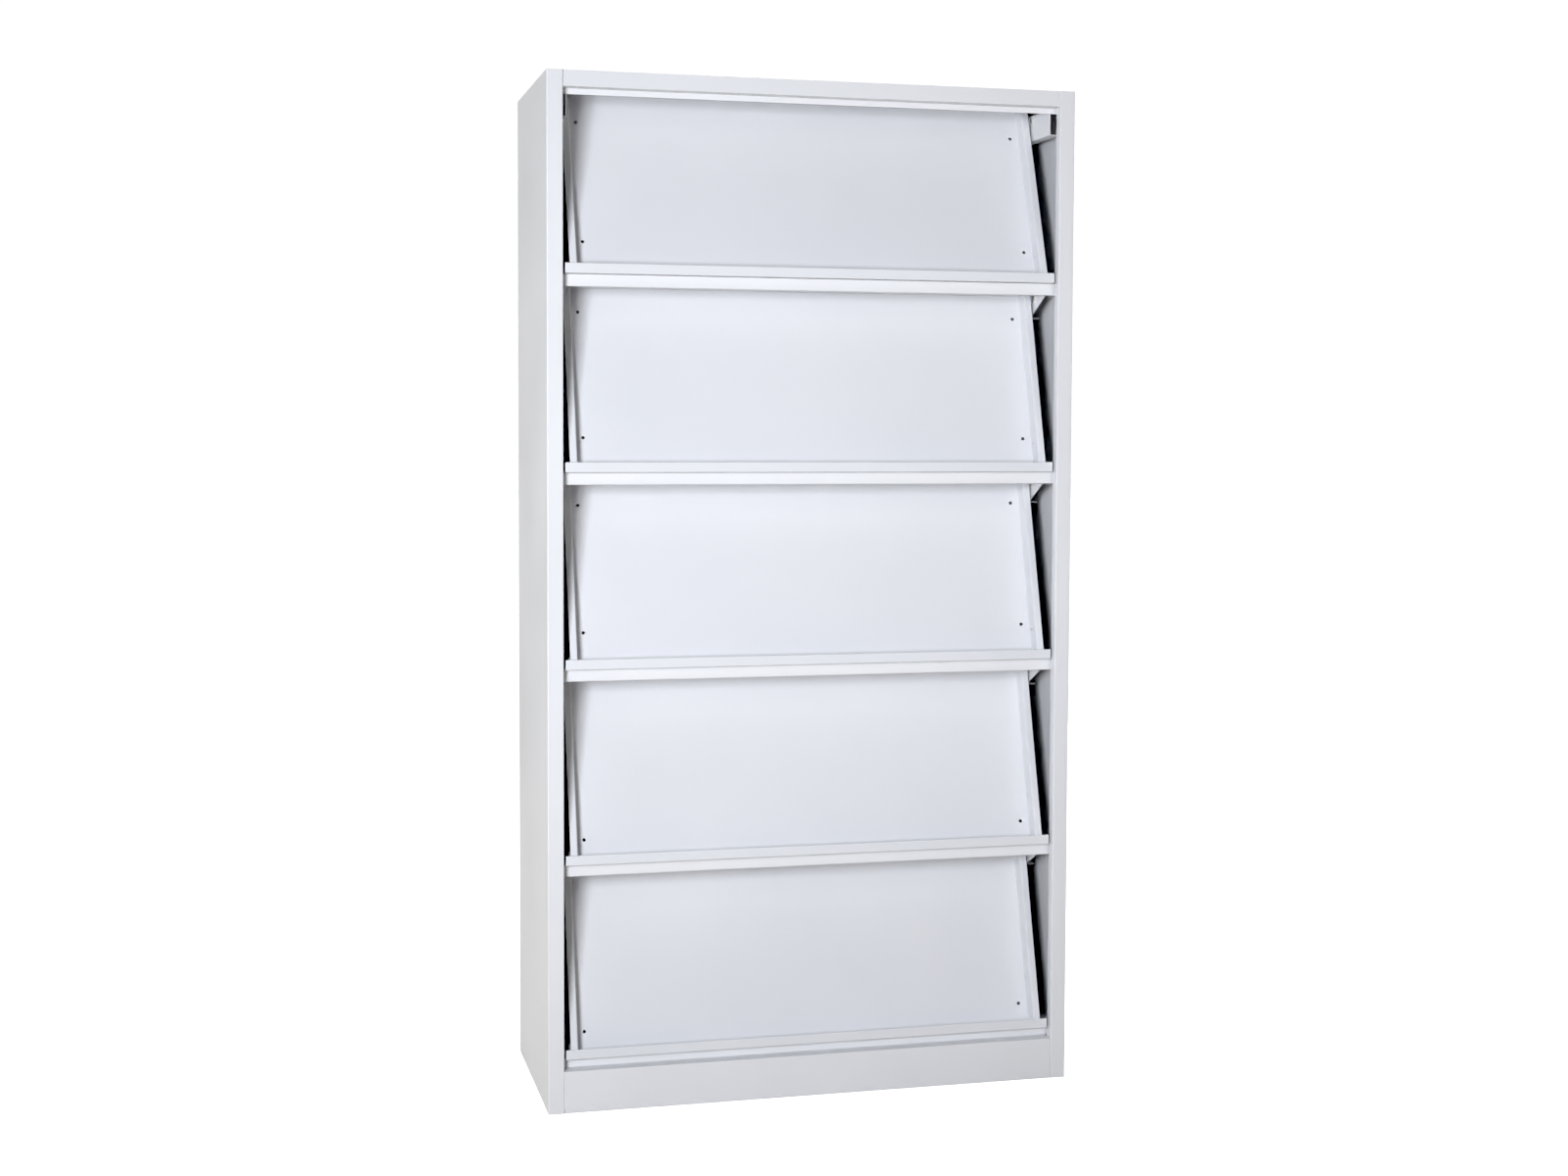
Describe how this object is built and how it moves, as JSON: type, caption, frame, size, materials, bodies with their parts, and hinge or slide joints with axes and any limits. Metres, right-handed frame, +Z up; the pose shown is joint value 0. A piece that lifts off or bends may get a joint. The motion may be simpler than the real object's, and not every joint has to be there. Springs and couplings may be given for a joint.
{
  "type": "periodical display cabinet",
  "caption": "Tall steel periodical cabinet with sloping display boards that swing up and slide back over storage shelves.",
  "frame": {"origin": "centre of the footprint, on the floor", "axes": "+Z up, the open front faces -Y, +X to the right of someone looking at the front"},
  "size_m": [0.955, 0.396, 1.8],
  "materials": {
    "cabinet_paint": "smooth satin powder coat, cool white",
    "board_paint": "smooth satin powder coat, cool white",
    "zinc_steel": "bright zinc plate",
    "natural_nylon": "moulded natural nylon"
  },
  "bodies": {
    "cabinet": {"left_side_panel": "cabinet_paint", "right_side_panel": "cabinet_paint", "top_panel": "cabinet_paint", "back_panel": "cabinet_paint", "plinth": "cabinet_paint", "base_channel_rear": "cabinet_paint", "bottom_shelf": "cabinet_paint", "shelf_1": "cabinet_paint", "shelf_2": "cabinet_paint", "shelf_3": "cabinet_paint", "shelf_4": "cabinet_paint", "rail_left_1": "cabinet_paint", "rail_left_2": "cabinet_paint", "rail_left_3": "cabinet_paint", "rail_left_4": "cabinet_paint", "rail_left_5": "cabinet_paint", "rail_right_1": "cabinet_paint", "rail_right_2": "cabinet_paint", "rail_right_3": "cabinet_paint", "rail_right_4": "cabinet_paint", "rail_right_5": "cabinet_paint"},
    "carriage_1": {"slide_blocks_1": "natural_nylon"},
    "board_1": {"display_board_1": "board_paint", "ledge_1": "board_paint", "board_stiffener_1": "board_paint", "pivot_brackets_1": "zinc_steel", "pivot_pins_1": "zinc_steel", "pin_clips_1": "zinc_steel"},
    "carriage_2": {"slide_blocks_2": "natural_nylon"},
    "board_2": {"display_board_2": "board_paint", "ledge_2": "board_paint", "board_stiffener_2": "board_paint", "pivot_brackets_2": "zinc_steel", "pivot_pins_2": "zinc_steel", "pin_clips_2": "zinc_steel"},
    "carriage_3": {"slide_blocks_3": "natural_nylon"},
    "board_3": {"display_board_3": "board_paint", "ledge_3": "board_paint", "board_stiffener_3": "board_paint", "pivot_brackets_3": "zinc_steel", "pivot_pins_3": "zinc_steel", "pin_clips_3": "zinc_steel"},
    "carriage_4": {"slide_blocks_4": "natural_nylon"},
    "board_4": {"display_board_4": "board_paint", "ledge_4": "board_paint", "board_stiffener_4": "board_paint", "pivot_brackets_4": "zinc_steel", "pivot_pins_4": "zinc_steel", "pin_clips_4": "zinc_steel"},
    "carriage_5": {"slide_blocks_5": "natural_nylon"},
    "board_5": {"display_board_5": "board_paint", "ledge_5": "board_paint", "board_stiffener_5": "board_paint", "pivot_brackets_5": "zinc_steel", "pivot_pins_5": "zinc_steel", "pin_clips_5": "zinc_steel"}
  },
  "joints": [
    {"name": "board_1_slide", "type": "slide", "parent": "cabinet", "child": "carriage_1", "axis": [0, 1, 0], "range_m": [0, 0.208]},
    {"name": "board_1_tilt", "type": "hinge", "parent": "carriage_1", "child": "board_1", "pos_m": [0, -0.078, 1.762], "axis": [-1, 0, 0], "range_deg": [0, 69]},
    {"name": "board_2_slide", "type": "slide", "parent": "cabinet", "child": "carriage_2", "axis": [0, 1, 0], "range_m": [0, 0.236]},
    {"name": "board_2_tilt", "type": "hinge", "parent": "carriage_2", "child": "board_2", "pos_m": [0, -0.098, 1.4355], "axis": [-1, 0, 0], "range_deg": [0, 74]},
    {"name": "board_3_slide", "type": "slide", "parent": "cabinet", "child": "carriage_3", "axis": [0, 1, 0], "range_m": [0, 0.236]},
    {"name": "board_3_tilt", "type": "hinge", "parent": "carriage_3", "child": "board_3", "pos_m": [0, -0.098, 1.094], "axis": [-1, 0, 0], "range_deg": [0, 74]},
    {"name": "board_4_slide", "type": "slide", "parent": "cabinet", "child": "carriage_4", "axis": [0, 1, 0], "range_m": [0, 0.236]},
    {"name": "board_4_tilt", "type": "hinge", "parent": "carriage_4", "child": "board_4", "pos_m": [0, -0.098, 0.7525], "axis": [-1, 0, 0], "range_deg": [0, 74]},
    {"name": "board_5_slide", "type": "slide", "parent": "cabinet", "child": "carriage_5", "axis": [0, 1, 0], "range_m": [0, 0.236]},
    {"name": "board_5_tilt", "type": "hinge", "parent": "carriage_5", "child": "board_5", "pos_m": [0, -0.098, 0.411], "axis": [-1, 0, 0], "range_deg": [0, 74]}
  ]
}
